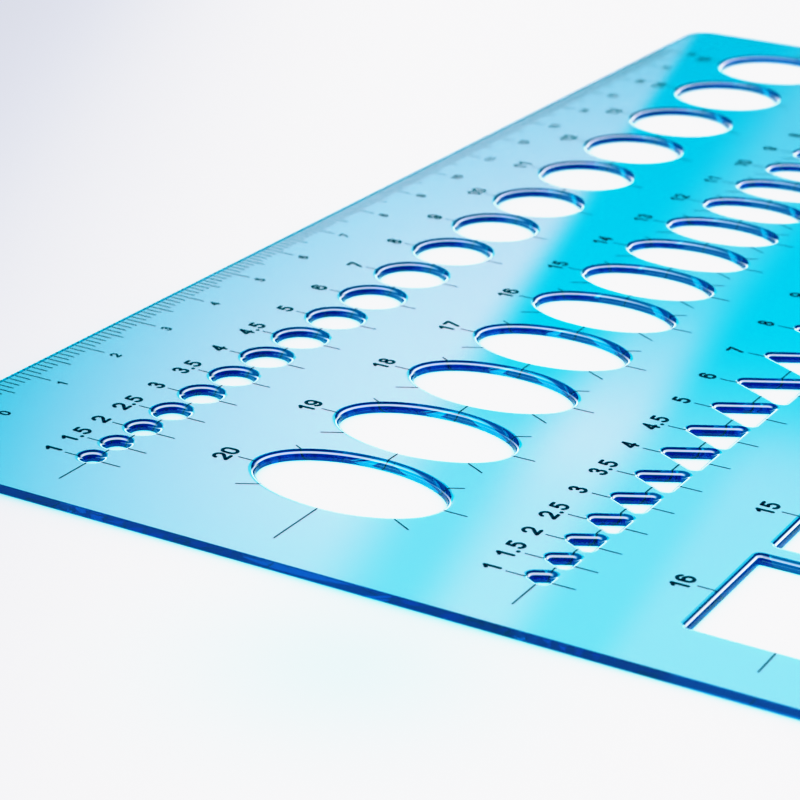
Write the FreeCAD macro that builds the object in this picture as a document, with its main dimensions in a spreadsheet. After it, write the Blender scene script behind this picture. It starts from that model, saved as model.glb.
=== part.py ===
import FreeCAD, Part
import Sketcher
import math
import os

# A combination drawing template: one thin, clear sheet with a centimetre scale along its +Y edge
# and four rows of openings (circles, isometric ellipses, triangles and squares) to draw through.
# The underside of the sheet lies on z = 0, and the origin is at the middle of the sheet.
# Everything printed is a thin layer of ink set flush in the underside, so that it lies on the paper.
# Each opening is named by its nominal size in millimetres: diameter, major axis or side.

DIMENSIONS = (
    # the sheet
    ("sheet_length", 210.0),
    ("sheet_width", 120.0),
    ("sheet_thickness", 1.0),
    ("sheet_corner", 4.0),
    # every opening: how far it stands outside its nominal outline, and its rounded edges;
    # an ellipse's shape, and the allowance as measured along its isometric lines
    ("opening_allowance", 0.5),
    ("triangle_corner", 0.45),
    ("square_corner", 0.25),
    ("lip_radius", 0.75),
    ("isometric_ratio", 0.57735),
    ("isometric_allowance", 0.55),
    # each row: distance of its axis from the scale edge, and of its first opening from the left end
    ("circle_row", 20.5),
    ("ellipse_row", 45.8),
    ("triangle_row", 71.4),
    ("square_row", 95.4),
    ("circle_start", 10.6),
    ("ellipse_start", 19.3),
    ("triangle_start", 10.75),
    ("square_start", 17.6),
    # gaps between the nominal outlines of neighbours
    ("circle_gap", 3.0),
    ("circle_wide_gap", 4.0),
    ("ellipse_gap", 3.5),
    ("ellipse_wide_gap", 4.3),
    ("triangle_gap", 3.06),
    ("triangle_tight_gap", 2.66),
    ("square_gap", 4.1),
    # the centimetre scale
    ("scale_margin", 15.4),
    ("scale_centimetres", 18.0),
    ("centimetre_tick", 4.15),
    ("half_centimetre_tick", 3.15),
    ("millimetre_tick", 2.15),
    # printed lines
    ("ink_depth", 0.04),
    ("line_width", 0.14),
    ("line_setback", 0.1),
    ("circle_mark_reach", 2.95),
    ("ellipse_mark_reach", 3.3),
    ("triangle_mark_reach", 3.2),
    ("square_mark_reach", 3.2),
    ("axis_start", 5.0),
    ("axis_overrun", 4.0),
    # numerals: outside height, stroke as a share of it, and where they stand
    ("size_numeral_height", 2.05),
    ("size_numeral_gap", 0.5),
    ("scale_numeral_height", 1.35),
    ("scale_numeral_middle", 5.65),
    ("numeral_stroke", 0.145),
)

CIRCLE_SIZES = (1, 1.5, 2, 2.5, 3, 3.5, 4, 4.5, 5, 6, 7, 8, 9, 10, 11, 12, 13, 14, 15)
ELLIPSE_SIZES = tuple(range(20, 2, -1))
TRIANGLE_SIZES = CIRCLE_SIZES
SQUARE_SIZES = tuple(range(16, 2, -1))

LEAST_LENGTH = 1e-6
CENTIMETRE = 10
HALF_CENTIMETRE = 5
UP = FreeCAD.Vector(0, 0, 1)

doc = FreeCAD.newDocument("drawing_template")
sheet = doc.addObject("Spreadsheet::Sheet", "Dimensions")
for line, (alias, value) in enumerate(DIMENSIONS, start=1):
    sheet.set(f"A{line}", alias)
    sheet.set(f"B{line}", str(value))
    sheet.setAlias(f"B{line}", alias)
doc.recompute()


def cell(alias):
    """Expression that reads one cell of the sheet."""
    return "Dimensions." + alias


def number(alias):
    """Value of one cell, for the shapes drawn in code."""
    return float(sheet.get(alias))


def bind(item, expressions):
    """Bind each named property of an object to its expression."""
    for name, expression in expressions.items():
        item.setExpression(name, str(expression))


# ---- places along the rows ------------------------------------------------------------------

class Opening:
    """One opening: its nominal size, and expressions for its extents, place and step onwards."""

    def __init__(self, kind, nominal, x):
        self.nominal = nominal
        self.x = x
        self.y = f"{cell('sheet_width')} / 2 - {cell(kind + '_row')}"
        self.across = across_row(kind, nominal)
        self.half_width = half_width_at_axis(kind, nominal)
        self.half_height = f"{nominal} / 2"
        if kind == "triangle":
            self.half_height = f"{nominal} * sin(60) / 2"
        self.step = None


def across_row(kind, nominal):
    """Nominal extent along the row."""
    if kind == "ellipse":
        return f"{nominal} * {cell('isometric_ratio')}"
    return f"{nominal}"


def half_width_at_axis(kind, nominal):
    """Half of the opening's real width where the row's axis crosses it."""
    if kind == "triangle":
        return f"({nominal} / 4 + {cell('opening_allowance')} / sin(60))"
    return f"({across_row(kind, nominal)} / 2 + {cell('opening_allowance')})"


def lay_out(kind, nominals, gap_after):
    """Set openings side by side, each a gap beyond the last, and return them in order."""
    x = f"{cell(kind + '_start')} - {cell('sheet_length')} / 2"
    row = []
    means = 0.0
    gaps = {}
    for index, nominal in enumerate(nominals):
        ratio = f" * {cell('isometric_ratio')}" if kind == "ellipse" else ""
        counted = "".join(f" + {count} * {cell(gap)}" for gap, count in gaps.items())
        row.append(Opening(kind, nominal, f"{x} + {means}{ratio}{counted}"))
        if index + 1 < len(nominals):
            mean = (nominal + nominals[index + 1]) / 2
            gap = gap_after(nominal)
            row[-1].step = f"({mean}{ratio} + {cell(gap)})"
            means += mean
            gaps[gap] = gaps.get(gap, 0) + 1
    return row


ROWS = {
    "circle": lay_out("circle", CIRCLE_SIZES,
                      lambda d: "circle_gap" if d < 10 else "circle_wide_gap"),
    "ellipse": lay_out("ellipse", ELLIPSE_SIZES,
                       lambda d: "ellipse_gap" if d < 17 else "ellipse_wide_gap"),
    "triangle": lay_out("triangle", TRIANGLE_SIZES,
                        lambda d: "triangle_gap" if d < 4 else "triangle_tight_gap"),
    "square": lay_out("square", SQUARE_SIZES, lambda d: "square_gap"),
}


# ---- the openings, as solids to cut with ------------------------------------------------------

def extrude(name, outline):
    """Extrude a flat outline through the sheet."""
    prism = doc.addObject("Part::Extrusion", name)
    prism.Base = outline
    prism.DirMode = "Custom"
    prism.Dir = UP
    prism.Solid = True
    bind(prism, {"LengthFwd": cell("sheet_thickness")})
    return prism


def circle_cutter(name, opening):
    cutter = doc.addObject("Part::Cylinder", name)
    bind(cutter, {"Radius": f"{opening.nominal} / 2 + {cell('opening_allowance')}",
                  "Height": cell("sheet_thickness"),
                  "Placement.Base.x": opening.x,
                  "Placement.Base.y": opening.y})
    return cutter


def ellipse_cutter(name, opening):
    """The major axis stands across the row, so the ellipse is turned a quarter."""
    outline = doc.addObject("Part::Ellipse", name + "_outline")
    outline.Placement.Rotation = FreeCAD.Rotation(UP, 90)
    bind(outline, {"MajorRadius": f"{opening.nominal} / 2 + {cell('opening_allowance')}",
                   "MinorRadius": f"{opening.across} / 2 + {cell('opening_allowance')}",
                   "Placement.Base.x": opening.x,
                   "Placement.Base.y": opening.y})
    return extrude(name, outline)


def triangle_cutter(name, opening):
    """Apex towards the scale; the row's axis passes at half of the nominal height."""
    outline = doc.addObject("Part::RegularPolygon", name + "_outline")
    outline.Polygon = 3
    outline.Placement.Rotation = FreeCAD.Rotation(UP, 90)
    inscribed = f"{opening.nominal} * sin(60) / 3"
    bind(outline, {"Circumradius": f"2 * ({inscribed} + {cell('opening_allowance')})",
                   "Placement.Base.x": opening.x,
                   "Placement.Base.y": f"{opening.y} - {opening.half_height} + {inscribed}"})
    return extrude(name, outline)


def square_cutter(name, opening):
    cutter = doc.addObject("Part::Box", name)
    side = f"({opening.nominal} + 2 * {cell('opening_allowance')})"
    bind(cutter, {"Length": side,
                  "Width": side,
                  "Height": cell("sheet_thickness"),
                  "Placement.Base.x": f"{opening.x} - {side} / 2",
                  "Placement.Base.y": f"{opening.y} - {side} / 2"})
    return cutter


CUTTERS = {"circle": circle_cutter, "ellipse": ellipse_cutter,
           "triangle": triangle_cutter, "square": square_cutter}


def group(name, members):
    """Hold several solids together as one object."""
    compound = doc.addObject("Part::Compound", name)
    compound.Links = members
    return compound


def opening_cutters():
    """One prism per opening, for all four rows."""
    cutters = []
    for kind, row in ROWS.items():
        for order, opening in enumerate(row, start=1):
            cutters.append(CUTTERS[kind](f"{kind}_opening_{order}", opening))
    return group("openings", cutters)


# ---- the sheet ----------------------------------------------------------------------------------

def upright_corners(shape, place):
    """Names of the sharp upright edges that stand at a place, as judged from the edge's middle."""
    names = []
    for index, edge in enumerate(shape.Edges, start=1):
        is_upright = edge.Curve.TypeId == "Part::GeomLine" and edge.BoundBox.ZLength > LEAST_LENGTH
        is_seam = len(shape.ancestorsOfType(edge, Part.Face)) < 2
        if is_upright and not is_seam and place(edge.BoundBox.Center):
            names.append(f"Edge{index}")
    return names


def at_sheet_corner(point):
    return abs(abs(point.x) - number("sheet_length") / 2) < LEAST_LENGTH


def in_row(kind):
    """A test for places nearer to one row's axis than to any other row's."""
    def is_nearest(point):
        from_edge = number("sheet_width") / 2 - point.y
        nearest = min(ROWS, key=lambda other: abs(number(other + "_row") - from_edge))
        return nearest == kind and not at_sheet_corner(point)
    return is_nearest


def lip_edges(shape):
    """Names of the edges around the openings in the top face."""
    top = max(shape.Faces, key=lambda face: (face.CenterOfMass.z, face.Area))
    outside = top.OuterWire.Edges
    rims = [edge for edge in top.Edges if not any(edge.isSame(other) for other in outside)]
    names = []
    for index, edge in enumerate(shape.Edges, start=1):
        if any(edge.isSame(rim) for rim in rims):
            names.append(f"Edge{index}")
    return names


def fillet(body, name, base, edges, radius):
    """Round edges of a body's last feature and make the result its tip."""
    feature = body.newObject("PartDesign::Fillet", name)
    feature.Base = (base, edges)
    bind(feature, {"Radius": cell(radius)})
    body.Tip = feature
    doc.recompute()
    return feature


def rounded_sheet():
    """The sheet with all its openings, their corners rounded and their upper lips rolled over."""
    blank = doc.addObject("Part::Box", "blank")
    bind(blank, {"Length": cell("sheet_length"),
                 "Width": cell("sheet_width"),
                 "Height": cell("sheet_thickness"),
                 "Placement.Base.x": f"-{cell('sheet_length')} / 2",
                 "Placement.Base.y": f"-{cell('sheet_width')} / 2"})
    pierced = doc.addObject("Part::Cut", "pierced_blank")
    pierced.Base = blank
    pierced.Tool = opening_cutters()
    doc.recompute()
    body = doc.addObject("PartDesign::Body", "lipped_sheet")
    body.BaseFeature = pierced
    doc.recompute()
    last = body.Tip
    for name, place, radius in (("outer_corners", at_sheet_corner, "sheet_corner"),
                                ("triangle_corners", in_row("triangle"), "triangle_corner"),
                                ("square_corners", in_row("square"), "square_corner")):
        last = fillet(body, name, last, upright_corners(body.Shape, place), radius)
    fillet(body, "opening_lips", last, lip_edges(body.Shape), "lip_radius")
    return body


# ---- printed lines --------------------------------------------------------------------------------

def line_mark(name, x, y, angle, start, end):
    """A printed line that leaves (x, y) at an angle, from start to end along it."""
    mark = doc.addObject("Part::Box", name)
    mark.Placement.Rotation = FreeCAD.Rotation(UP, angle)
    half = f"{cell('line_width')} / 2"
    bind(mark, {"Length": f"{end} - ({start})",
                "Width": cell("line_width"),
                "Height": cell("ink_depth"),
                "Placement.Base.x": f"{x} + ({start}) * cos({angle}) + {half} * sin({angle})",
                "Placement.Base.y": f"{y} + ({start}) * sin({angle}) - {half} * cos({angle})"})
    return mark


def axis_lines(kind):
    """The row's axis, printed wherever no opening interrupts it."""
    row = ROWS[kind]
    setback = cell("line_setback")
    first = row[0]
    lead = f"{first.x} + {cell('sheet_length')} / 2 - {cell('axis_start')}"
    marks = [line_mark(f"{kind}_axis_0", first.x, first.y, 180, f"{first.half_width} + {setback}", lead)]
    for order, (opening, following) in enumerate(zip(row, row[1:]), start=1):
        start = f"{opening.half_width} + {setback}"
        end = f"{opening.step} - {following.half_width} - {setback}"
        marks.append(line_mark(f"{kind}_axis_{order}", opening.x, opening.y, 0, start, end))
    last = row[-1]
    start = f"{last.half_width} + {setback}"
    end = f"{last.half_width} + {cell('axis_overrun')}"
    marks.append(line_mark(f"{kind}_axis_{len(row)}", last.x, last.y, 0, start, end))
    return marks


def cross_marks(kind):
    """The marks above and below each opening, on its own centre line."""
    marks = []
    reach = cell(kind + "_mark_reach")
    clear = f"{cell('opening_allowance')} + {cell('line_setback')}"
    above = clear
    if kind == "triangle":
        above = f"2 * {cell('opening_allowance')} + {cell('line_setback')}"
    for order, opening in enumerate(ROWS[kind], start=1):
        half = opening.half_height
        marks.append(line_mark(f"{kind}_upper_{order}", opening.x, opening.y, 90,
                               f"{half} + {above}", f"{half} + {reach}"))
        marks.append(line_mark(f"{kind}_lower_{order}", opening.x, opening.y, 270,
                               f"{half} + {clear}", f"{half} + {reach}"))
    return marks


def isometric_marks():
    """Four marks on each ellipse, 30 degrees from its major axis: the isometric centre lines."""
    marks = []
    reach = cell("ellipse_mark_reach")
    for order, opening in enumerate(ROWS["ellipse"], start=1):
        # Along these lines an isometric circle is its major axis times the square root of 1/6 from centre.
        radius = f"{opening.nominal} / sqrt(6)"
        start = f"{radius} + {cell('isometric_allowance')} + {cell('line_setback')}"
        for angle in (60, 120, 240, 300):
            marks.append(line_mark(f"isometric_{angle}_{order}", opening.x, opening.y, angle,
                                   start, f"{radius} + {reach}"))
    return marks


def centre_marks(kind):
    """All printed lines of one row."""
    marks = axis_lines(kind) + cross_marks(kind)
    if kind == "ellipse":
        marks += isometric_marks()
    return group(kind + "_centre_marks", marks)


# ---- the centimetre scale -------------------------------------------------------------------------

def tick_outline(sketch, offset, length):
    """A rectangle that hangs from the scale edge, with its left side at an offset from zero."""
    first = sketch.GeometryCount
    corners = [FreeCAD.Vector(offset, 0, 0), FreeCAD.Vector(offset, -1, 0),
               FreeCAD.Vector(offset + 1, -1, 0), FreeCAD.Vector(offset + 1, 0, 0)]
    for corner, following in zip(corners, corners[1:] + corners[:1]):
        sketch.addGeometry(Part.LineSegment(corner, following), False)
    for side in range(4):
        joined = first + (side + 1) % 4
        sketch.addConstraint(Sketcher.Constraint("Coincident", first + side, 2, joined, 1))
        direction = "Vertical" if side % 2 == 0 else "Horizontal"
        sketch.addConstraint(Sketcher.Constraint(direction, first + side))
    sketch.addConstraint(Sketcher.Constraint("PointOnObject", first, 1, -1))
    if offset:
        sketch.addConstraint(Sketcher.Constraint("DistanceX", -1, 1, first, 1, offset))
    else:
        sketch.addConstraint(Sketcher.Constraint("PointOnObject", first, 1, -2))
    width = sketch.addConstraint(Sketcher.Constraint("DistanceX", first + 1, 1, first + 1, 2, 1.0))
    height = sketch.addConstraint(Sketcher.Constraint("DistanceY", first, 2, first, 1, 1.0))
    sketch.setExpression(f"Constraints[{width}]", cell("line_width"))
    sketch.setExpression(f"Constraints[{height}]", cell(length))


def scale_ticks(name, offsets, length, spacing, occurrences):
    """One printed length of tick, drawn once and repeated along the scale."""
    body = doc.addObject("PartDesign::Body", name)
    body.AllowCompound = True
    sketch = body.newObject("Sketcher::SketchObject", name + "_sketch")
    plane = next(item for item in body.Origin.OriginFeatures if item.Role == "XY_Plane")
    sketch.AttachmentSupport = (plane, [""])
    sketch.MapMode = "FlatFace"
    for offset in offsets:
        tick_outline(sketch, offset, length)
    pad = body.newObject("PartDesign::Pad", name + "_pad")
    pad.Profile = sketch
    bind(pad, {"Length": cell("ink_depth")})
    doc.recompute()
    pattern = body.newObject("PartDesign::LinearPattern", name + "_pattern")
    pattern.Originals = [pad]
    pattern.Direction = (sketch, ["H_Axis"])
    pattern.Mode = "Spacing"
    pattern.Offset = spacing
    bind(pattern, {"Occurrences": occurrences})
    body.Tip = pattern
    zero = f"{cell('scale_margin')} - {cell('sheet_length')} / 2 - {cell('line_width')} / 2"
    bind(body, {"Placement.Base.x": zero,
                "Placement.Base.y": f"{cell('sheet_width')} / 2"})
    return body


# ---- numerals ---------------------------------------------------------------------------------------

# Each numeral is a set of strokes in a box one unit high, as measured between stroke middles.
# A stroke is either straight runs through points, or an arc by centre, radius and two angles.
GLYPH_WIDTH = 0.62
MIDDLE = GLYPH_WIDTH / 2
UPPER_BOWL = 0.23
LOWER_BOWL = 0.27
ADVANCE = 0.777
POINT_ADVANCE = 0.39
POINT_RADIUS = 0.6
OWN_WIDTHS = {".": 0, "1": 0.5}

RUNS = {
    "0": [[(0, MIDDLE), (0, 1 - MIDDLE)], [(GLYPH_WIDTH, MIDDLE), (GLYPH_WIDTH, 1 - MIDDLE)]],
    "1": [[(0.12, 0.78), (0.38, 1), (0.38, 0)]],
    "2": [[(0.5475, 0.4907), (0, 0), (GLYPH_WIDTH, 0)]],
    "3": [],
    "4": [[(GLYPH_WIDTH, 0.28), (0, 0.28), (0.46, 1), (0.46, 0)]],
    "5": [[(0.57, 1), (0.14, 1), (0.1107, 0.5475)]],
    "6": [[(0, MIDDLE), (0, 1 - MIDDLE)]],
    "7": [[(0, 1), (GLYPH_WIDTH, 1), (0.2, 0)]],
    "8": [],
    "9": [[(GLYPH_WIDTH, MIDDLE), (GLYPH_WIDTH, 1 - MIDDLE)]],
}

ARCS = {
    "0": [(MIDDLE, 1 - MIDDLE, MIDDLE, 0, 180), (MIDDLE, MIDDLE, MIDDLE, 180, 360)],
    "1": [],
    "2": [(MIDDLE, 1 - MIDDLE, MIDDLE, -40, 170)],
    "3": [(MIDDLE, 1 - UPPER_BOWL, UPPER_BOWL, -90, 160), (MIDDLE, LOWER_BOWL, LOWER_BOWL, -160, 90)],
    "4": [],
    "5": [(MIDDLE, MIDDLE, MIDDLE, -150, 130)],
    "6": [(MIDDLE, MIDDLE, MIDDLE, 0, 360), (MIDDLE, 1 - MIDDLE, MIDDLE, 30, 180)],
    "7": [],
    "8": [(MIDDLE, 1 - UPPER_BOWL, UPPER_BOWL, 0, 360), (MIDDLE, LOWER_BOWL, LOWER_BOWL, 0, 360)],
    "9": [(MIDDLE, 1 - MIDDLE, MIDDLE, 0, 360), (MIDDLE, MIDDLE, MIDDLE, 210, 360)],
}


class Pen:
    """Draws strokes of one width as thin solids, at one numeral height."""

    def __init__(self, height):
        self.width = height * number("numeral_stroke")
        self.scale = height - self.width
        self.advance = ADVANCE * height
        self.point_advance = POINT_ADVANCE * height
        self.depth = number("ink_depth")

    def at(self, x, y):
        return FreeCAD.Vector(x * self.scale, y * self.scale, 0)

    def dot(self, centre, radius):
        return Part.makeCylinder(radius, self.depth, centre, UP)

    def bar(self, begin, end):
        """One straight piece with square ends."""
        along = end - begin
        side = UP.cross(along).normalize() * (self.width / 2)
        corners = [begin - side, end - side, end + side, begin + side, begin - side]
        return Part.Face(Part.makePolygon(corners)).extrude(UP * self.depth)

    def bow(self, centre, radius, begin, end):
        """One curved piece: a sector of a ring."""
        outer = Part.makeCylinder(radius + self.width / 2, self.depth, centre, UP, end - begin)
        sector = outer.cut(Part.makeCylinder(radius - self.width / 2, self.depth, centre, UP))
        return sector.rotate(centre, UP, begin)

    def numeral(self, character):
        """One numeral as one solid, with round stroke ends."""
        if character == ".":
            return self.dot(self.at(0, 0), self.width * POINT_RADIUS)
        pieces = []
        for points in RUNS[character]:
            places = [self.at(x, y) for x, y in points]
            pieces += [self.bar(a, b) for a, b in zip(places, places[1:])]
            pieces += [self.dot(place, self.width / 2) for place in places]
        for x, y, radius, begin, end in ARCS[character]:
            pieces.append(self.bow(self.at(x, y), radius * self.scale, begin, end))
            if end - begin < 360:
                for angle in (math.radians(begin), math.radians(end)):
                    place = self.at(x + radius * math.cos(angle), y + radius * math.sin(angle))
                    pieces.append(self.dot(place, self.width / 2))
        whole = pieces[0]
        if len(pieces) > 1:
            whole = pieces[0].multiFuse(pieces[1:]).removeSplitter()
        return whole

    def word(self, text, glyphs, x, y):
        """A centred line of numerals: its middle at x, its lowest edge at y."""
        steps = [self.point_advance if c == "." else self.advance for c in text]
        left = x - sum(steps) / 2
        solids = []
        for character, step in zip(text, steps):
            own_width = OWN_WIDTHS.get(character, GLYPH_WIDTH) * self.scale
            if character not in glyphs:
                glyphs[character] = self.numeral(character)
            shape = glyphs[character].copy()
            shape.translate(FreeCAD.Vector(left + (step - own_width) / 2, y + self.width / 2, 0))
            solids.append(shape)
            left += step
        return solids


def write(name, height, words):
    """Print several words, each given as (text, x, y), as one group of ink."""
    pen = Pen(height)
    glyphs = {}
    solids = []
    for text, x, y in words:
        for shape in pen.word(text, glyphs, x, y):
            solids += shape.Solids
    numerals = doc.addObject("Part::Feature", name)
    numerals.Shape = Part.makeCompound(solids)
    numerals.Placement = FreeCAD.Placement()
    return numerals


def size_numerals(kind):
    """The nominal size beside each opening, between its upper mark and the scale edge."""
    words = []
    for opening in ROWS[kind]:
        x = sheet.evalExpression(opening.x)
        y = sheet.evalExpression(f"{opening.y} + {opening.half_height}")
        y += number(kind + "_mark_reach") + number("size_numeral_gap")
        words.append((f"{opening.nominal:g}", x, y))
    return write(kind + "_size_numerals", number("size_numeral_height"), words)


def scale_numerals():
    """The centimetre numbers of the scale."""
    height = number("scale_numeral_height")
    zero = number("scale_margin") - number("sheet_length") / 2
    y = number("sheet_width") / 2 - number("scale_numeral_middle") - height / 2
    last = int(number("scale_centimetres"))
    words = [(str(count), zero + CENTIMETRE * count, y) for count in range(last + 1)]
    return write("scale_numerals", height, words)


# ---- the template -------------------------------------------------------------------------------------

def build_template():
    """Make every sub-part, and let the ink into the underside of the sheet."""
    centimetres = cell("scale_centimetres")
    ink = [
        scale_ticks("scale_centimetre_ticks", (0,), "centimetre_tick", CENTIMETRE, f"{centimetres} + 1"),
        scale_ticks("scale_half_centimetre_ticks", (HALF_CENTIMETRE,), "half_centimetre_tick", CENTIMETRE,
                    centimetres),
        scale_ticks("scale_millimetre_ticks", (1, 2, 3, 4), "millimetre_tick", HALF_CENTIMETRE,
                    f"2 * {centimetres}"),
        scale_numerals(),
    ]
    for kind in ROWS:
        ink.append(centre_marks(kind))
        ink.append(size_numerals(kind))
    lipped = rounded_sheet()
    doc.recompute()
    template = doc.addObject("Part::Feature", "template_sheet")
    template.Shape = lipped.Shape.cut([layer.Shape for layer in ink])
    template.Placement = FreeCAD.Placement()
    return [template] + ink


def check(parts):
    """Stop if any object failed to build, or any sub-part is empty or not valid."""
    for item in doc.Objects:
        if "Invalid" in item.State or "Error" in item.State:
            raise RuntimeError(f"{item.Label} did not build: {item.State}")
    for part in parts:
        if part.Shape.isNull() or not part.Shape.isValid():
            raise RuntimeError(f"{part.Label} has no valid shape")


sub_parts = build_template()
check(sub_parts)
os.makedirs("parts", exist_ok=True)
for sub_part in sub_parts:
    sub_part.Shape.exportStep(f"parts/{sub_part.Label}.step")
    print(sub_part.Label, len(sub_part.Shape.Solids), round(sub_part.Shape.Volume, 3))
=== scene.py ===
"""Looks of the drawing template: clear cyan sheet, printing, floor, light and camera."""

import math

import bpy
from mathutils import Matrix, Vector
from mathutils.geometry import delaunay_2d_cdt


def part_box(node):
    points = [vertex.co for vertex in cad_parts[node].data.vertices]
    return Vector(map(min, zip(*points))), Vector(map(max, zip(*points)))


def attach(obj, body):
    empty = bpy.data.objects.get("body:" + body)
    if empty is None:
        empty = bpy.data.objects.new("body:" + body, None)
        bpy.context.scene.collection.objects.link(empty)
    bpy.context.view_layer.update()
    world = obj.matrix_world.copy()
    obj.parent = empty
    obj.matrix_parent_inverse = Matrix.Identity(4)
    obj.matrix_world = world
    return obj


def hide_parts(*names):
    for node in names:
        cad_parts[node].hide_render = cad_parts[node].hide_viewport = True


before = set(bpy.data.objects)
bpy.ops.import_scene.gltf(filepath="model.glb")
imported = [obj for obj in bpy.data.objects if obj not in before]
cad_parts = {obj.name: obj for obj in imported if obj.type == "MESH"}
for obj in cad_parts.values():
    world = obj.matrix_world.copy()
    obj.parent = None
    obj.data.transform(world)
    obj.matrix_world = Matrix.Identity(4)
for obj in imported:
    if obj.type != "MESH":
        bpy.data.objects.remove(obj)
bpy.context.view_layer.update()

MM = 0.001

# ---- sizes, in millimetres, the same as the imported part's -------------------------------------

sheet_low, sheet_high = (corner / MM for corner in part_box("template_sheet"))
LENGTH = sheet_high.x - sheet_low.x
WIDTH = sheet_high.y - sheet_low.y
THICKNESS = sheet_high.z - sheet_low.z
SHEET_CORNER = 4.0
SHEET_EDGE_RADIUS = 0.12
LOWER_EDGE_RADIUS = 0.05
ALLOWANCE = 0.5
TRIANGLE_CORNER = 0.45
SQUARE_CORNER = 0.25
LIP_RADIUS = 0.75
LIP_CREASE = 8
ISOMETRIC = math.sqrt(1 / 3)
ISOMETRIC_ANGLES = (60, 120, 240, 300)
ISOMETRIC_ALLOWANCE = 0.55
TRIANGLE_RISE = math.sin(math.radians(60))

SMALL_SIZES = (1, 1.5, 2, 2.5, 3, 3.5, 4, 4.5, 5, 6, 7, 8, 9, 10, 11, 12, 13, 14, 15)
SCALE_MARGIN = 15.4
SCALE_CENTIMETRES = 18
TICK_LENGTHS = {"centimetre": 4.15, "half_centimetre": 3.15, "millimetre": 2.15}
LINE_WIDTH = 0.14
LINE_SETBACK = 0.1
AXIS_START = 5.0
AXIS_OVERRUN = 4.0
SIZE_NUMERAL_HEIGHT = 2.05
SIZE_NUMERAL_GAP = 0.5
SCALE_NUMERAL_HEIGHT = 1.35
SCALE_NUMERAL_MIDDLE = 5.65
NUMERAL_STROKE = 0.185
INK_LOW = 0.006
INK_HIGH = 0.022

# ---- how finely the curves are cut ------------------------------------------------------------

ROUND_POINTS = 48
ROUND_POINTS_PER_MM = 4
TRIANGLE_CORNER_STEPS = 10
SQUARE_CORNER_STEPS = 8
SHEET_CORNER_STEPS = 12
LOWER_EDGE_STEPS = 3
LIP_STEPS = 14
SHEET_EDGE_STEPS = 5
DOT_SIDES = 16
BOW_STEP = 12
FEWEST_BOW_STEPS = 6
SAME_POINT = 1e-7


# ---- the rows of openings -----------------------------------------------------------------------

class Opening:
    """One opening, with half its size along the row and square to it."""

    def __init__(self, kind, nominal, x, y):
        self.kind = kind
        self.nominal = nominal
        self.centre = Vector((x, y))
        self.half_width = nominal / 2 + ALLOWANCE
        self.half_height = nominal / 2
        if kind == "ellipse":
            self.half_width = nominal * ISOMETRIC / 2 + ALLOWANCE
        if kind == "triangle":
            self.half_width = nominal / 4 + ALLOWANCE / TRIANGLE_RISE
            self.half_height = nominal * TRIANGLE_RISE / 2


class Row:
    """Openings of one kind in a line, with their distance from the scale's edge."""

    def __init__(self, kind, nominals, from_edge, start, gap_after, reach):
        self.kind = kind
        self.reach = reach
        self.y = WIDTH / 2 - from_edge
        self.openings = []
        share = ISOMETRIC if kind == "ellipse" else 1.0
        x = start - LENGTH / 2
        for before, nominal in zip((None,) + tuple(nominals), nominals):
            if before is not None:
                x += (before + nominal) / 2 * share + gap_after(before)
            self.openings.append(Opening(kind, nominal, x, self.y))


ROWS = (
    Row("circle", SMALL_SIZES, 20.5, 10.6, lambda d: 3.0 if d < 10 else 4.0, 2.95),
    Row("ellipse", range(20, 2, -1), 45.8, 19.3, lambda d: 3.5 if d < 17 else 4.3, 3.3),
    Row("triangle", SMALL_SIZES, 71.4, 10.75, lambda d: 3.06 if d < 4 else 2.66, 3.2),
    Row("square", range(16, 2, -1), 95.4, 17.6, lambda d: 4.1, 3.2),
)


# ---- outlines: points with the direction that leads away from the opening ----------------------

def towards(angle):
    """The unit vector at an angle in degrees."""
    return Vector((math.cos(math.radians(angle)), math.sin(math.radians(angle))))


def round_outline(a, b, count):
    """An ellipse of half-axes a and b."""
    points = []
    for step in range(count):
        turn = 2 * math.pi * step / count
        point = Vector((a * math.cos(turn), b * math.sin(turn)))
        outward = Vector((b * math.cos(turn), a * math.sin(turn))).normalized()
        points.append((point, outward))
    return points


# A square's corners, counter-clockwise.
SQUARE = ((1, 1), (-1, 1), (-1, -1), (1, -1))


def cornered_outline(corners, radius, steps):
    """A convex polygon, counter-clockwise, with each corner rounded."""
    points = []
    for index, corner in enumerate(corners):
        arriving = (corner - corners[index - 1]).normalized()
        leaving = (corners[(index + 1) % len(corners)] - corner).normalized()
        first = Vector((arriving.y, -arriving.x))
        last = Vector((leaving.y, -leaving.x))
        turn = first.angle(last)
        centre = corner - (first + last).normalized() * radius / math.cos(turn / 2)
        for step in range(steps + 1):
            angle = turn * step / steps
            outward = Matrix.Rotation(angle, 2) @ first
            points.append((centre + outward * radius, outward))
    return points


def opening_outline(opening):
    """The opening at the underside, counter-clockwise."""
    nominal = opening.nominal
    half = nominal / 2 + ALLOWANCE
    if opening.kind in ("circle", "ellipse"):
        count = ROUND_POINTS + ROUND_POINTS_PER_MM * int(nominal)
        local = round_outline(opening.half_width, half, count)
    elif opening.kind == "triangle":
        inscribed = nominal * TRIANGLE_RISE / 3
        middle = Vector((0, inscribed - opening.half_height))
        corners = [middle + 2 * (inscribed + ALLOWANCE) * towards(angle) for angle in (90, 210, 330)]
        local = cornered_outline(corners, TRIANGLE_CORNER, TRIANGLE_CORNER_STEPS)
    else:
        corners = [Vector((half * x, half * y)) for x, y in SQUARE]
        local = cornered_outline(corners, SQUARE_CORNER, SQUARE_CORNER_STEPS)
    return [(opening.centre + point, outward) for point, outward in local]


# ---- the sheet's mesh --------------------------------------------------------------------------

def quarter(centre_offset, centre_height, radius, begin, end, steps):
    """Profile points on an arc: offset, height, and the normal's parts along both."""
    points = []
    for step in range(steps + 1):
        turn = math.radians(begin + (end - begin) * step / steps)
        across, up = math.cos(turn), math.sin(turn)
        points.append((centre_offset + radius * across, centre_height + radius * up, across, up))
    return points


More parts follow.
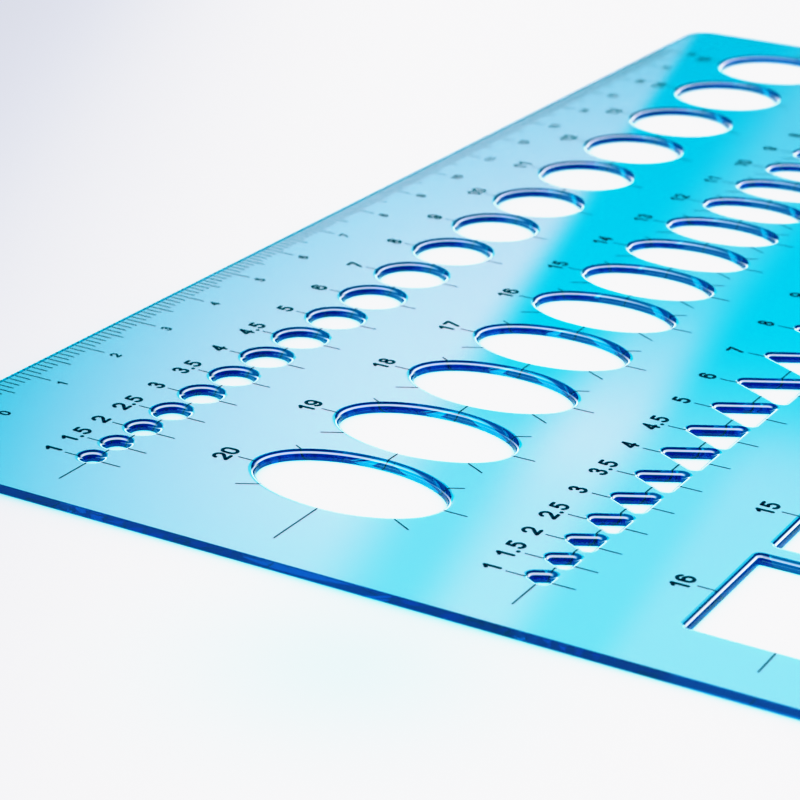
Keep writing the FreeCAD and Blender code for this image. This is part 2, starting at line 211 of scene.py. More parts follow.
def wall_profile():
    """From the underside up an opening's wall and over its lip; offsets lead into the plastic."""
    radius = LOWER_EDGE_RADIUS
    lower = quarter(radius, radius, radius, 270, 180, LOWER_EDGE_STEPS)
    upper = quarter(LIP_RADIUS, THICKNESS - LIP_RADIUS, LIP_RADIUS, 180, 90, LIP_STEPS)
    # A faint crease where the lip leaves the flat top.
    offset, height, _, _ = upper[-1]
    crease = math.radians(LIP_CREASE)
    upper[-1] = (offset, height, -math.sin(crease), math.cos(crease))
    return lower + upper


def rim_profile():
    """From the underside up the sheet's outer edge; offsets lead out of the plastic."""
    radius = SHEET_EDGE_RADIUS
    lower = quarter(-radius, radius, radius, 270, 360, SHEET_EDGE_STEPS - 1)
    upper = quarter(-radius, THICKNESS - radius, radius, 0, 90, SHEET_EDGE_STEPS)
    return lower + upper


def mesh_object(name, vertices, faces):
    """An object from places in millimetres."""
    mesh = bpy.data.meshes.new(name)
    mesh.from_pydata([Vector(place) * MM for place in vertices], [], faces)
    return linked(bpy.data.objects.new(name, mesh))


def linked(item):
    bpy.context.scene.collection.objects.link(item)
    return item


class SheetMesh:
    """Collects vertices and faces, with an exact normal for each face corner."""

    def __init__(self):
        self.vertices = []
        self.faces = []
        self.normals = []
        self.low_rings = []
        self.high_rings = []

    def sweep(self, outline, profile, around_opening):
        """Sweep a profile round a counter-clockwise outline."""
        count = len(outline)
        rings = []
        ring_normals = []
        for offset, height, across, up in profile:
            rings.append(range(len(self.vertices), len(self.vertices) + count))
            ring_normals.append([(outward.x * across, outward.y * across, up) for _, outward in outline])
            for point, outward in outline:
                place = point + outward * offset
                self.vertices.append((place.x, place.y, height))
        for level in range(len(profile) - 1):
            for step in range(count):
                following = (step + 1) % count
                corners = [(level, step), (level, following), (level + 1, following), (level + 1, step)]
                if around_opening:
                    corners.reverse()
                self.faces.append([rings[ring][place] for ring, place in corners])
                self.normals += [ring_normals[ring][place] for ring, place in corners]
        self.low_rings.append(rings[0])
        self.high_rings.append(rings[-1])

    def fill(self, rings, up):
        """Close one flat face between the outermost ring, which is the first, and the others."""
        numbers = [number for ring in rings for number in ring]
        ring_of = [order for order, ring in enumerate(rings) for _ in ring]
        points = [Vector(self.vertices[number][:2]) for number in numbers]
        edges = []
        start = 0
        for ring in rings:
            edges += [(start + step, start + (step + 1) % len(ring)) for step in range(len(ring))]
            start += len(ring)
        _, _, triangles, sources, _, _ = delaunay_2d_cdt(points, edges, [], 0, SAME_POINT)
        for triangle in triangles:
            corners = [sources[corner][0] for corner in triangle]
            owners = {ring_of[corner] for corner in corners}
            if len(owners) == 1 and owners != {0}:
                continue
            a, b, c = (points[corner] for corner in corners)
            if ((b - a).cross(c - a) > 0) != (up > 0):
                corners.reverse()
            self.faces.append([numbers[corner] for corner in corners])
            self.normals += [(0, 0, up)] * 3

    def object(self, name):
        item = mesh_object(name, self.vertices, self.faces)
        item.data.polygons.foreach_set("use_smooth", [True] * len(self.faces))
        item.data.normals_split_custom_set(self.normals)
        return item


def clear_sheet():
    """The moulded sheet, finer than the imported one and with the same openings."""
    builder = SheetMesh()
    half = Vector((LENGTH / 2, WIDTH / 2))
    corners = [Vector((half.x * x, half.y * y)) for x, y in SQUARE]
    outline = cornered_outline(corners, SHEET_CORNER, SHEET_CORNER_STEPS)
    builder.sweep(outline, rim_profile(), False)
    for row in ROWS:
        for opening in row.openings:
            builder.sweep(opening_outline(opening), wall_profile(), True)
    builder.fill(builder.low_rings, -1)
    builder.fill(builder.high_rings, 1)
    return builder.object("clear_sheet")


# ---- printing ----------------------------------------------------------------------------------

# A numeral is drawn in a box one unit high: straight runs, and arcs as x, y, radius and two angles.
GLYPH_WIDTH = 0.62
MIDDLE = GLYPH_WIDTH / 2
UPPER_BOWL = 0.23
LOWER_BOWL = 0.27
ADVANCE = 0.777
POINT_ADVANCE = 0.39
POINT_RADIUS = 0.6
OWN_WIDTHS = {".": 0, "1": 0.5}


def bow_end(x, y, radius, angle):
    """Where an arc ends."""
    return Vector((x, y)) + radius * towards(angle)


RUNS = {
    "0": [[(0, MIDDLE), (0, 1 - MIDDLE)], [(GLYPH_WIDTH, MIDDLE), (GLYPH_WIDTH, 1 - MIDDLE)]],
    "1": [[(0.12, 0.78), (0.38, 1), (0.38, 0)]],
    "2": [[bow_end(MIDDLE, 1 - MIDDLE, MIDDLE, -40), (0, 0), (GLYPH_WIDTH, 0)]],
    "4": [[(GLYPH_WIDTH, 0.28), (0, 0.28), (0.46, 1), (0.46, 0)]],
    "5": [[(0.57, 1), (0.14, 1), bow_end(MIDDLE, MIDDLE, MIDDLE, 130)]],
    "6": [[(0, MIDDLE), (0, 1 - MIDDLE)]],
    "7": [[(0, 1), (GLYPH_WIDTH, 1), (0.2, 0)]],
    "9": [[(GLYPH_WIDTH, MIDDLE), (GLYPH_WIDTH, 1 - MIDDLE)]],
}

ARCS = {
    "0": [(MIDDLE, 1 - MIDDLE, MIDDLE, 0, 180), (MIDDLE, MIDDLE, MIDDLE, 180, 360)],
    "2": [(MIDDLE, 1 - MIDDLE, MIDDLE, -40, 170)],
    "3": [(MIDDLE, 1 - UPPER_BOWL, UPPER_BOWL, -90, 160), (MIDDLE, LOWER_BOWL, LOWER_BOWL, -160, 90)],
    "5": [(MIDDLE, MIDDLE, MIDDLE, -150, 130)],
    "6": [(MIDDLE, MIDDLE, MIDDLE, 0, 360), (MIDDLE, 1 - MIDDLE, MIDDLE, 30, 180)],
    "8": [(MIDDLE, 1 - UPPER_BOWL, UPPER_BOWL, 0, 360), (MIDDLE, LOWER_BOWL, LOWER_BOWL, 0, 360)],
    "9": [(MIDDLE, 1 - MIDDLE, MIDDLE, 0, 360), (MIDDLE, MIDDLE, MIDDLE, 210, 360)],
}


class Print:
    """One printed motif: flat slabs of ink just inside the underside."""

    def __init__(self):
        self.vertices = []
        self.faces = []

    def slab(self, corners):
        """A prism over a convex, counter-clockwise outline."""
        first = len(self.vertices)
        count = len(corners)
        for height in (INK_LOW, INK_HIGH):
            self.vertices += [(corner.x, corner.y, height) for corner in corners]
        self.faces.append([first + step for step in reversed(range(count))])
        self.faces.append([first + count + step for step in range(count)])
        for step in range(count):
            following = (step + 1) % count
            self.faces.append([first + step, first + following, first + count + following,
                               first + count + step])

    def line(self, origin, angle, start, end):
        """A line of ink from start to end along a direction that leaves origin."""
        along = towards(angle)
        self.bar(origin + along * start, origin + along * end, LINE_WIDTH)

    def bar(self, begin, end, width):
        """A straight bar with square ends."""
        along = (end - begin).normalized()
        side = Vector((-along.y, along.x)) * width / 2
        self.slab([begin - side, end - side, end + side, begin + side])

    def stroke(self, points, width):
        """A line of ink along several points, with round ends and joints."""
        for begin, end in zip(points, points[1:]):
            self.bar(begin, end, width)
        spokes = [towards(360 * step / DOT_SIDES) for step in range(DOT_SIDES)]
        for point in points:
            self.slab([point + spoke * width / 2 for spoke in spokes])

    def bow(self, centre, radius, begin, end, width):
        """A sector of a ring, with round ends."""
        steps = max(FEWEST_BOW_STEPS, round((end - begin) / BOW_STEP))
        spokes = [towards(begin + (end - begin) * step / steps) for step in range(steps + 1)]
        for a, b in zip(spokes, spokes[1:]):
            self.slab([centre + a * (radius - width / 2), centre + a * (radius + width / 2),
                       centre + b * (radius + width / 2), centre + b * (radius - width / 2)])
        for spoke in (spokes[0], spokes[-1]):
            self.stroke([centre + spoke * radius], width)

    def text(self, text, height, x, low):
        """Numerals of one height, centred on x, with their lowest edge at low."""
        width = NUMERAL_STROKE * height
        scale = height - width
        steps = [(POINT_ADVANCE if letter == "." else ADVANCE) * height for letter in text]
        left = x - sum(steps) / 2
        for character, step in zip(text, steps):
            own_width = OWN_WIDTHS.get(character, GLYPH_WIDTH) * scale
            corner = Vector((left + (step - own_width) / 2, low + width / 2))
            for run in RUNS.get(character, ()):
                self.stroke([corner + Vector(point) * scale for point in run], width)
            for bow_x, bow_y, radius, begin, end in ARCS.get(character, ()):
                self.bow(corner + Vector((bow_x, bow_y)) * scale, radius * scale, begin, end, width)
            if character == ".":
                self.stroke([corner], 2 * POINT_RADIUS * width)
            left += step

    def object(self, name):
        return mesh_object(name, self.vertices, self.faces)


def centre_marks(row):
    """The row's axis between its openings, and the marks that cross each opening's centre."""
    marks = Print()
    first, last = row.openings[0], row.openings[-1]
    lead = first.centre.x + LENGTH / 2 - AXIS_START
    marks.line(first.centre, 180, first.half_width + LINE_SETBACK, lead)
    marks.line(last.centre, 0, last.half_width + LINE_SETBACK, last.half_width + AXIS_OVERRUN)
    for before, after in zip(row.openings, row.openings[1:]):
        step = after.centre.x - before.centre.x
        marks.line(before.centre, 0, before.half_width + LINE_SETBACK,
                   step - after.half_width - LINE_SETBACK)
    for opening in row.openings:
        below = ALLOWANCE + LINE_SETBACK
        above = below + (ALLOWANCE if row.kind == "triangle" else 0)
        marks.line(opening.centre, 90, opening.half_height + above, opening.half_height + row.reach)
        marks.line(opening.centre, 270, opening.half_height + below, opening.half_height + row.reach)
        if row.kind == "ellipse":
            # The distance from the centre to the nominal ellipse along its isometric axes.
            radius = opening.nominal / math.sqrt(6)
            start = radius + ISOMETRIC_ALLOWANCE + LINE_SETBACK
            for angle in ISOMETRIC_ANGLES:
                marks.line(opening.centre, angle, start, radius + row.reach)
    return marks


def size_numerals(row):
    numerals = Print()
    for opening in row.openings:
        low = opening.centre.y + opening.half_height + row.reach + SIZE_NUMERAL_GAP
        numerals.text(f"{opening.nominal:g}", SIZE_NUMERAL_HEIGHT, opening.centre.x, low)
    return numerals


def scale_ticks(length, offsets, every, stop):
    """One length of tick: at each offset in millimetres, repeated up to a stop."""
    ticks = Print()
    edge = Vector((SCALE_MARGIN - LENGTH / 2, WIDTH / 2))
    for group in range(0, stop, every):
        for offset in offsets:
            ticks.line(edge + Vector((group + offset, 0)), 270, SHEET_EDGE_RADIUS, length)
    return ticks


def scale_numerals():
    numerals = Print()
    low = WIDTH / 2 - SCALE_NUMERAL_MIDDLE - SCALE_NUMERAL_HEIGHT / 2
    for count in range(SCALE_CENTIMETRES + 1):
        x = SCALE_MARGIN - LENGTH / 2 + 10 * count
        numerals.text(str(count), SCALE_NUMERAL_HEIGHT, x, low)
    return numerals


# ---- materials ---------------------------------------------------------------------------------

def new_material(name):
    material = bpy.data.materials.new(name)
    material.use_nodes = True
    material.node_tree.nodes.clear()
    return material, material.node_tree


class Formula:
    """Builds arithmetic out of math nodes; a value is a socket or a number."""

    def __init__(self, tree):
        self.tree = tree

    def fill(self, socket, value):
        if hasattr(value, "is_output"):
            self.tree.links.new(value, socket)
        else:
            socket.default_value = value

    def node(self, operation, *values):
        node = self.tree.nodes.new("ShaderNodeMath")
        node.operation = operation
        for socket, value in zip(node.inputs, values):
            self.fill(socket, value)
        return node.outputs[0]

    def add(self, a, b):
        return self.node("ADD", a, b)

    def subtract(self, a, b):
        return self.node("SUBTRACT", a, b)

    def multiply(self, a, b):
        return self.node("MULTIPLY", a, b)

    def blend(self, share, whole, none):
        """From one value, where the share is whole, to another, where there is none."""
        return self.add(self.multiply(share, whole), self.multiply(self.subtract(1, share), none))

    def step(self, value, low, high):
        """Nought below low, one above high, smooth between."""
        node = self.tree.nodes.new("ShaderNodeMapRange")
        node.interpolation_type = "SMOOTHSTEP"
        self.fill(node.inputs["Value"], value)
        node.inputs["From Min"].default_value = low
        node.inputs["From Max"].default_value = high
        return node.outputs["Result"]

    def band(self, value, rise, fall):
        """One from the end of a smooth rise to the start of a smooth fall, nought outside them."""
        return self.multiply(self.step(value, *rise), self.subtract(1, self.step(value, *fall)))

    def vector(self, operation, a, b, output="Vector"):
        node = self.tree.nodes.new("ShaderNodeVectorMath")
        node.operation = operation
        self.fill(node.inputs[0], a)
        self.fill(node.inputs[1], b)
        return node.outputs[output]

    def parts(self, vector):
        """The x, y and z of a vector."""
        node = self.tree.nodes.new("ShaderNodeSeparateXYZ")
        self.fill(node.inputs[0], vector)
        return tuple(node.outputs)

    def angles(self, x, y, z):
        """Azimuth and elevation in degrees of a direction."""
        azimuth = self.multiply(self.node("ARCTAN2", y, x), math.degrees(1))
        elevation = self.multiply(self.node("ARCSINE", z), math.degrees(1))
        return azimuth, elevation


def mixed_colour(tree, start, shares):
    """A colour that gives way to each further one by its share, in turn."""
    socket = tree.nodes.new("ShaderNodeRGB").outputs[0]
    socket.default_value = (*start, 1)
    for share, colour in shares:
        mix = tree.nodes.new("ShaderNodeMix")
        mix.data_type = "RGBA"
        factor, before, after = (item for item in mix.inputs if item.enabled)
        tree.links.new(share, factor)
        tree.links.new(socket, before)
        after.default_value = (*colour, 1)
        socket = next(item for item in mix.outputs if item.enabled)
    return socket


def glow_shader(tree, colour, strength):
    node = tree.nodes.new("ShaderNodeEmission")
    node.inputs["Color"].default_value = (*colour, 1)
    Formula(tree).fill(node.inputs["Strength"], strength)
    return node.outputs[0]


def both_shaders(tree, first, second):
    node = tree.nodes.new("ShaderNodeAddShader")
    tree.links.new(first, node.inputs[0])
    tree.links.new(second, node.inputs[1])
    return node.outputs[0]


IOR = 1.49
# Inside this far from the sheet's outline, in millimetres, a face belongs to its outer edge.
EDGE_REACH = (1, 0.9)

# The streak on the lips: by the height of the normal, and by how far it leans the streak's way. It is
# painted on by where a face points, so it stays in place in every view.
STREAK_RISE = (0.58, 0.66)
STREAK_FALL = (0.8, 0.88)
STREAK_DIRECTION = (-0.71, -0.71, 0.0)
STREAK_SIDE = (0.2, 0.6)
STREAK_LIGHT = 18.0

# The painted reflection of a bright horizon, by elevation and azimuth of the mirrored view in degrees.
HORIZON_RISE = (-2, 2)
HORIZON_FALL = (9, 14)
AHEAD = (-35, -15)
PAINTED_HORIZON_LIGHT = 4.0
PAINTED_FACE_LIGHT_COLOUR = (0.9, 0.97, 1.05)


def outermost(f, geometry):
    """One at the sheet's own outer edges, nought at its openings."""
    x, y, _ = f.parts(geometry.outputs["Position"])
    begin, end = EDGE_REACH
    sides = [f.step(f.node("ABSOLUTE", place), (half - begin) * MM, (half - end) * MM)
             for place, half in ((x, LENGTH / 2), (y, WIDTH / 2))]
    return f.node("MAXIMUM", *sides)


def face_light(tree, path):
    """What the outer faces add for the camera: a painted reflection of a bright horizon and a painted
    streak on the lips.
    """
    f = Formula(tree)
    geometry = tree.nodes.new("ShaderNodeNewGeometry")
    normal = geometry.outputs["Normal"]
    mirrored = f.vector("REFLECT", geometry.outputs["Incoming"], normal)
    # The mirrored view leaves the face the other way.
    azimuth, elevation = f.angles(*(f.multiply(part, -1) for part in f.parts(mirrored)))
    painted_horizon = f.multiply(f.band(elevation, HORIZON_RISE, HORIZON_FALL), f.step(azimuth, *AHEAD))
    # The streak lies halfway down the lips, and the sheet's own outer edges have none.
    _, _, height = f.parts(normal)
    facing = f.vector("DOT_PRODUCT", normal, STREAK_DIRECTION, "Value")
    streak = f.multiply(f.band(height, STREAK_RISE, STREAK_FALL), f.step(facing, *STREAK_SIDE))
    streak = f.multiply(streak, f.subtract(1, outermost(f, geometry)))
    light = f.add(f.multiply(streak, STREAK_LIGHT), f.multiply(painted_horizon, PAINTED_HORIZON_LIGHT))
    fresnel = tree.nodes.new("ShaderNodeFresnel")
    fresnel.inputs["IOR"].default_value = IOR
    outside = f.subtract(1, geometry.outputs["Backfacing"])
    seen = f.multiply(outside, path.outputs["Is Camera Ray"])
    return glow_shader(tree, PAINTED_FACE_LIGHT_COLOUR, f.multiply(f.multiply(light, fresnel.outputs[0]), seen))


# How far a face turns to the camera where a lip's painted dark rim begins and ends, and where the
# painted shade of the wall begins.
RIM_START = (0.02, 0.05)
RIM_END = (0.3, 0.42)
WALL_START = (0.4, 0.75)
RIM_SHADE_COLOUR = (0.15, 0.55, 0.7)
WALL_SHADE_COLOUR = (0.4, 0.6, 0.85)
OUTER_EDGE_SHADE_COLOUR = (0.02, 0.12, 0.5)


def face_tint(tree):
    """Painted shade: darkens the rims and walls that face the camera, and the sheet's outer edges most.
    """
    f = Formula(tree)
    geometry = tree.nodes.new("ShaderNodeNewGeometry")
    level = [f.vector("MULTIPLY", geometry.outputs[name], (1, 1, 0)) for name in ("Normal", "Incoming")]
    facing = f.vector("DOT_PRODUCT", *level, "Value")
    rim = f.band(facing, RIM_START, RIM_END)
    wall = f.step(facing, *WALL_START)
    edge = f.multiply(wall, outermost(f, geometry))
    shares = ((rim, RIM_SHADE_COLOUR), (wall, WALL_SHADE_COLOUR), (edge, OUTER_EDGE_SHADE_COLOUR))
    return mixed_colour(tree, (1, 1, 1), shares)


SHADOW_TINT = (0.35, 1.0, 1.04)
ABSORPTION_PER_MM = (1.3, 0.1, 0.036)
# A faint blue glow painted inside the plastic, which stands for light scattered inside it.
PAINTED_STRAY_GLOW_COLOUR = (0.0, 0.08, 1.0)
PAINTED_STRAY_GLOW_PER_MM = 0.012


def cyan_plastic():
    """Clear plastic that swallows red, so that thin parts look cyan and long paths navy."""
    material, tree = new_material("cyan_plastic")
    nodes, links = tree.nodes, tree.links
    f = Formula(tree)
    path = nodes.new("ShaderNodeLightPath")
    glass = nodes.new("ShaderNodeBsdfPrincipled")
    glass.inputs["Roughness"].default_value = 0.0
    glass.inputs["IOR"].default_value = IOR
    glass.inputs["Transmission Weight"].default_value = 1
    # The glass's colour carries the painted shade of rims and walls that face the camera.
    links.new(face_tint(tree), glass.inputs["Base Color"])
    # Light that only casts the sheet's shade goes straight through, tinted.
    tint = nodes.new("ShaderNodeBsdfTransparent")
    tint.inputs["Color"].default_value = (*SHADOW_TINT, 1)
    shade = f.node("MAXIMUM", path.outputs["Is Shadow Ray"], path.outputs["Is Diffuse Ray"])
    mix = nodes.new("ShaderNodeMixShader")
    links.new(shade, mix.inputs["Fac"])
    links.new(both_shaders(tree, glass.outputs[0], face_light(tree, path)), mix.inputs[1])
    links.new(tint.outputs[0], mix.inputs[2])
    absorb = nodes.new("ShaderNodeVolumeAbsorption")
    strongest = max(ABSORPTION_PER_MM)
    absorb.inputs["Color"].default_value = (*(1 - value / strongest for value in ABSORPTION_PER_MM), 1)
    absorb.inputs["Density"].default_value = strongest / MM
    # The plastic's inside glows faintly blue: painted light for light scattered inside it.
    painted_stray_glow = glow_shader(tree, PAINTED_STRAY_GLOW_COLOUR, PAINTED_STRAY_GLOW_PER_MM / MM)
    out = nodes.new("ShaderNodeOutputMaterial")
    links.new(mix.outputs[0], out.inputs["Surface"])
    links.new(both_shaders(tree, absorb.outputs[0], painted_stray_glow), out.inputs["Volume"])
    return material


INK_COLOUR = (0.012, 0.02, 0.025)
INK_ROUGHNESS = 0.6


def printing_ink():
    material, tree = new_material("printing_ink")
    ink = tree.nodes.new("ShaderNodeBsdfPrincipled")
    ink.inputs["Base Color"].default_value = (*INK_COLOUR, 1)
    ink.inputs["Roughness"].default_value = INK_ROUGHNESS
    out = tree.nodes.new("ShaderNodeOutputMaterial")
    tree.links.new(ink.outputs[0], out.inputs["Surface"])
    return material


# ---- build -------------------------------------------------------------------------------------

def add_piece(item, node, material):
    item.data.materials.append(material)
    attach(item, "root")
    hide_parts(node)


def all_prints():
    """Each printed motif, by the node it stands for."""
    stop = 10 * SCALE_CENTIMETRES
    prints = {
        "scale_centimetre_ticks": scale_ticks(TICK_LENGTHS["centimetre"], (0,), 10, stop + 1),
        "scale_half_centimetre_ticks": scale_ticks(TICK_LENGTHS["half_centimetre"], (5,), 10, stop),
        "scale_millimetre_ticks": scale_ticks(TICK_LENGTHS["millimetre"], (1, 2, 3, 4), 5, stop),
        "scale_numerals": scale_numerals(),
    }
    for row in ROWS:
        prints[row.kind + "_centre_marks"] = centre_marks(row)
        prints[row.kind + "_size_numerals"] = size_numerals(row)
    return prints


def template():
    add_piece(clear_sheet(), "template_sheet", cyan_plastic())
    ink = printing_ink()
    for node, motif in all_prints().items():
        add_piece(motif.object("printed_" + node), node, ink)


# ---- floor, light and camera -------------------------------------------------------------------

# The windows that the sheet would mirror are not there: a glow on the floor stands for them. The main
# one, by the direction of view in degrees: its brightest place, how it loses light along azimuth,
# along elevation and across both, and its slanted soft edge, sharpest at one elevation.
WINDOW_CENTRE = (27.77, 22.22)
WINDOW_LIGHT = 0.584
WINDOW_LOSS = (0.00347, 0.00669, -0.00466)
WINDOW_LEAST = 0.15
WINDOW_SLANT = 0.627
WINDOW_EDGE = 13.8
EDGE_SOFTNESS = 0.1
EDGE_SHARPEST = 13

# Beyond that edge: an even light, a brighter strip along the edge and a second window outside it.
BEYOND_RISE = (20.2, 23.5)
BEYOND_LIGHT = 0.28
STRIP_RISE = (8.0, 9.6)
STRIP_FALL = (10.2, 12.2)
STRIP_LIGHT = 0.2
STRIP_PEAK_RISE = (19.5, 21)
STRIP_PEAK_FALL = (22.5, 25)
STRIP_PEAK = 0.6
OUTER_FALL = (5.6, 6.8)
OUTER_RISE = (22, 24)
OUTER_LIGHT = 0.1

# The windows end here; from every other side there is one weak light.
WINDOWS_AZIMUTH = ((-10, 5), (50, 70))
WINDOWS_ELEVATION = ((8, 12), (33, 40))
SIDE_LIGHT = 0.2


def window_light(f, azimuth, elevation):
    """How bright the glow that stands for the windows is, by the direction of view."""
    # The windows' edges are slanted: across counts degrees of azimuth square to them.
    across = f.subtract(azimuth, f.multiply(elevation, WINDOW_SLANT))
    softness = f.multiply(f.subtract(elevation, EDGE_SHARPEST), EDGE_SOFTNESS)
    share = f.step(f.node("DIVIDE", f.subtract(across, WINDOW_EDGE), softness), -1, 1)
    aside = f.subtract(azimuth, WINDOW_CENTRE[0])
    above = f.subtract(elevation, WINDOW_CENTRE[1])
    level = WINDOW_LIGHT
    for loss, a, b in zip(WINDOW_LOSS, (aside, above, aside), (aside, above, above)):
        level = f.subtract(level, f.multiply(f.multiply(a, b), loss))
    main = f.node("MAXIMUM", level, WINDOW_LEAST)
    beyond = f.multiply(f.step(elevation, *BEYOND_RISE), BEYOND_LIGHT)
    peak = f.multiply(f.band(elevation, STRIP_PEAK_RISE, STRIP_PEAK_FALL), STRIP_PEAK)
    strip = f.multiply(f.band(across, STRIP_RISE, STRIP_FALL), f.add(1, peak))
    outer = f.multiply(f.subtract(1, f.step(across, *OUTER_FALL)), f.step(elevation, *OUTER_RISE))
    strips = f.add(f.multiply(strip, STRIP_LIGHT), f.multiply(outer, OUTER_LIGHT))
    windows = f.blend(share, main, f.add(beyond, strips))
    inside = f.multiply(f.band(azimuth, *WINDOWS_AZIMUTH), f.band(elevation, *WINDOWS_ELEVATION))
    return f.blend(inside, windows, SIDE_LIGHT)


# The paper's colours under the sheet, round it and far to the left, and a spot in front of the near
# edge. The slightly darker paper round the sheet and the darker far left are painted shade, and the cyan
# spot is painted light that spills past the sheet's near edge.
PAPER_COLOUR = (0.83, 0.82, 0.85)
OUTER_PAPER_SHADE_COLOUR = (0.8, 0.79, 0.83)
FAR_PAPER_SHADE_COLOUR = (0.5, 0.51, 0.565)
LIGHT_SPILL_COLOUR = (0.6, 0.77, 0.83)
PAPER_SOFT_EDGE = 3
SHADE_SLANT = 0.5
PAPER_SHADE_FALLOFF = (48, 147)
LIGHT_SPILL_PLACE = (-117.0, -4.0, 0.0)
LIGHT_SPILL_REACH = (0, 30)


def paper_colour(tree, f, position):
    x, y, _ = f.parts(position)
    beyond = [f.subtract(f.node("ABSOLUTE", place), half * MM)
              for place, half in ((x, LENGTH / 2), (y, WIDTH / 2))]
    outside = f.step(f.node("MAXIMUM", *beyond), -PAPER_SOFT_EDGE * MM, 0.0)
    # Painted shade, darker towards the far left.
    far_left = f.subtract(y, f.multiply(x, SHADE_SLANT))
    far_shade = f.step(far_left, *(place * MM for place in PAPER_SHADE_FALLOFF))
    # A cyan spot of painted light in front of the near edge.
    light_spill_place = [place * MM for place in LIGHT_SPILL_PLACE]
    from_light_spill = f.vector("DISTANCE", position, light_spill_place, "Value")
    light_spill = f.subtract(1, f.step(from_light_spill, *(reach * MM for reach in LIGHT_SPILL_REACH)))
    shares = ((outside, OUTER_PAPER_SHADE_COLOUR), (far_shade, FAR_PAPER_SHADE_COLOUR),
              (f.multiply(outside, light_spill), LIGHT_SPILL_COLOUR))
    return mixed_colour(tree, PAPER_COLOUR, shares)


GLOW_COLOUR = (7.3, 0.36, 0.16)
SLANT_COLOUR = (0.0, 0.35, 0.45)
SLANT_POWER = 5
STEEP_GLOW = 0.65
SLANT_GLOW = 3.6
# Light bounces between which a view straight down through the sheet ends.
STRAIGHT_VIEW = (2.2, 2.8)
FLOOR_REACH = 4000
FLOOR_LEVEL = -0.03


def floor():
    """Pale paper; seen through the plastic, it also carries the glow that stands for the windows."""
    material, tree = new_material("pale_floor")
    nodes, links = tree.nodes, tree.links
    f = Formula(tree)
    geometry = nodes.new("ShaderNodeNewGeometry")
    path = nodes.new("ShaderNodeLightPath")
    paper = nodes.new("ShaderNodeBsdfDiffuse")
    links.new(paper_colour(tree, f, geometry.outputs["Position"]), paper.inputs["Color"])
    x, y, z = f.parts(geometry.outputs["Incoming"])
    azimuth, elevation = f.angles(f.multiply(x, -1), f.multiply(y, -1), z)
    # A slanting view loses more light at the plastic's two faces, so both glows grow with the slant.
    slant = f.node("POWER", f.subtract(1, z), SLANT_POWER)
    windows = f.multiply(window_light(f, azimuth, elevation),
                         f.add(STEEP_GLOW, f.multiply(slant, SLANT_GLOW)))
    # Only a view that passes straight down through the sheet picks up a glow.
    straight = f.subtract(1, f.step(path.outputs["Ray Depth"], *STRAIGHT_VIEW))
    through = f.multiply(path.outputs["Is Transmission Ray"], straight)
    surface = paper.outputs[0]
    for colour, strength in ((GLOW_COLOUR, windows), (SLANT_COLOUR, slant)):
        surface = both_shaders(tree, surface, glow_shader(tree, colour, f.multiply(strength, through)))
    out = nodes.new("ShaderNodeOutputMaterial")
    links.new(surface, out.inputs["Surface"])
    corners = [(FLOOR_REACH * x, FLOOR_REACH * y, FLOOR_LEVEL) for x, y in SQUARE]
    item = mesh_object("floor", corners, [(0, 1, 2, 3)])
    item.data.materials.append(material)


INNER_LIGHT = 0.45
INNER_COLOUR = (0.2, 0.4, 1.0)
DOME_LIGHT = 1.44


def studio_light():
    """An even white dome for the floor, a weak blue one inside the plastic, none to be mirrored."""
    world = bpy.data.worlds.new("studio")
    bpy.context.scene.world = world
    world.use_nodes = True
    world.cycles.sampling_method = "NONE"
    tree = world.node_tree
    nodes, links = tree.nodes, tree.links
    nodes.clear()
    f = Formula(tree)
    path = nodes.new("ShaderNodeLightPath")
    # Rays that came through the plastic count as glossy too.
    is_inner = path.outputs["Is Transmission Ray"]
    is_sharp = f.node("MAXIMUM", path.outputs["Is Glossy Ray"], is_inner)
    dome = f.multiply(f.subtract(1, is_sharp), DOME_LIGHT)
    background = nodes.new("ShaderNodeBackground")
    links.new(f.add(f.multiply(is_inner, INNER_LIGHT), dome), background.inputs["Strength"])
    links.new(mixed_colour(tree, (1, 1, 1), ((is_inner, INNER_COLOUR),)), background.inputs["Color"])
    out = nodes.new("ShaderNodeOutputWorld")
    links.new(background.outputs[0], out.inputs["Surface"])


CAMERA_PLACE = Vector((-286.9, -103.1, 106.0))
CAMERA_BEARING = 29.08
CAMERA_DIP = 22.39
CAMERA_ROLL = 1.63
FOCAL_LENGTH = 115.1
SENSOR_WIDTH = 36.0
FOCUS_DISTANCE = 262.0
APERTURE = 1.4
NEAREST_SEEN = 10
FARTHEST_SEEN = 20000


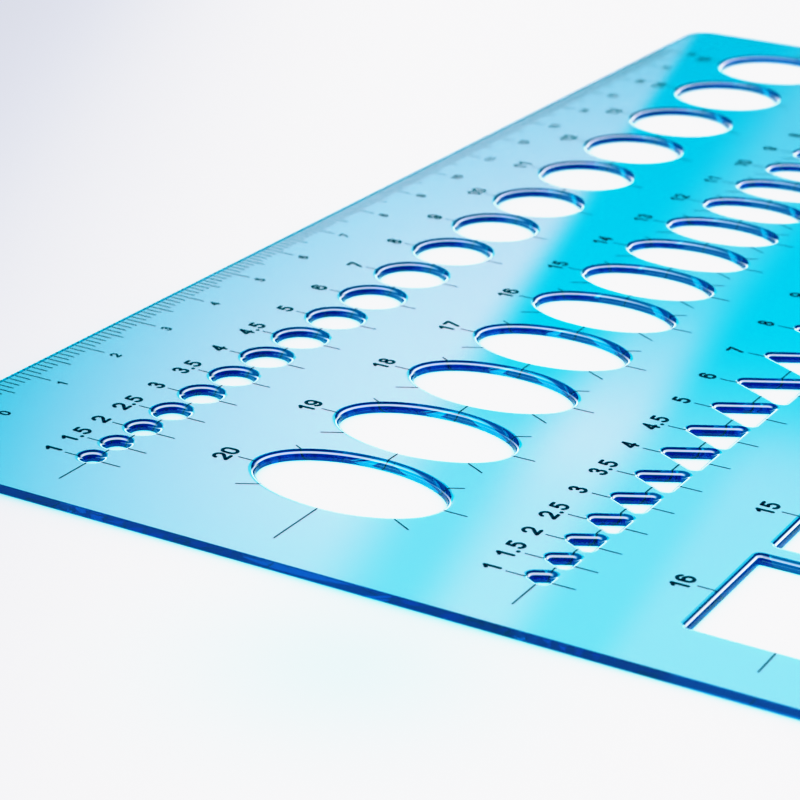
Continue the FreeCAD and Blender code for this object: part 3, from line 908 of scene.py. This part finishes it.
def camera():
    data = bpy.data.cameras.new("camera")
    data.lens = FOCAL_LENGTH
    data.sensor_width = SENSOR_WIDTH
    data.clip_start = NEAREST_SEEN * MM
    data.clip_end = FARTHEST_SEEN * MM
    item = linked(bpy.data.objects.new("camera", data))
    level, dip = towards(CAMERA_BEARING), towards(-CAMERA_DIP)
    forward = Vector((dip.x * level.x, dip.x * level.y, dip.y))
    upright = forward.to_track_quat("-Z", "Y").to_matrix()
    roll = Matrix.Rotation(math.radians(CAMERA_ROLL), 3, "Z")
    item.matrix_world = Matrix.Translation(CAMERA_PLACE * MM) @ (upright @ roll).to_4x4()
    focus = linked(bpy.data.objects.new("focus", None))
    focus.location = (CAMERA_PLACE + forward * FOCUS_DISTANCE) * MM
    data.dof.use_dof = True
    data.dof.focus_object = focus
    data.dof.aperture_fstop = FOCAL_LENGTH / APERTURE
    bpy.context.scene.camera = item


# How light becomes shown brightness: light over the brightest, and what it is shown as. Red has a
# second curve, which lowers it where it is weak and so deepens the cyan.
BRIGHTEST = 2.0
SHOULDER = ((0.1, 0.2), (0.25, 0.5), (0.375, 0.74), (0.475, 0.89), (0.6, 0.942), (0.8, 0.97))
SHOULDER_END = 0.99
RED_TOE = ((0.05, 0.01), (0.1, 0.045), (0.15, 0.105), (0.2, 0.17), (0.3, 0.29), (0.5, 0.5),
           (0.75, 0.75))


def finish_picture():
    """Plain colours with a soft shoulder, as an overexposed picture has."""
    settings = bpy.context.scene.view_settings
    settings.view_transform = "Standard"
    settings.use_curve_mapping = True
    mapping = settings.curve_mapping
    mapping.white_level = (BRIGHTEST,) * 3
    red, _, _, combined = mapping.curves
    for curve, bends, last in ((red, RED_TOE, 1.0), (combined, SHOULDER, SHOULDER_END)):
        curve.points[1].location = (1.0, last)
        for light, shown in bends:
            curve.points.new(light, shown)
    mapping.update()


LIGHT_BOUNCES = 20


def light_bounces():
    cycles = bpy.context.scene.cycles
    cycles.transmission_bounces = LIGHT_BOUNCES
    cycles.glossy_bounces = LIGHT_BOUNCES
    cycles.max_bounces = LIGHT_BOUNCES


template()
floor()
studio_light()
camera()
finish_picture()
light_bounces()
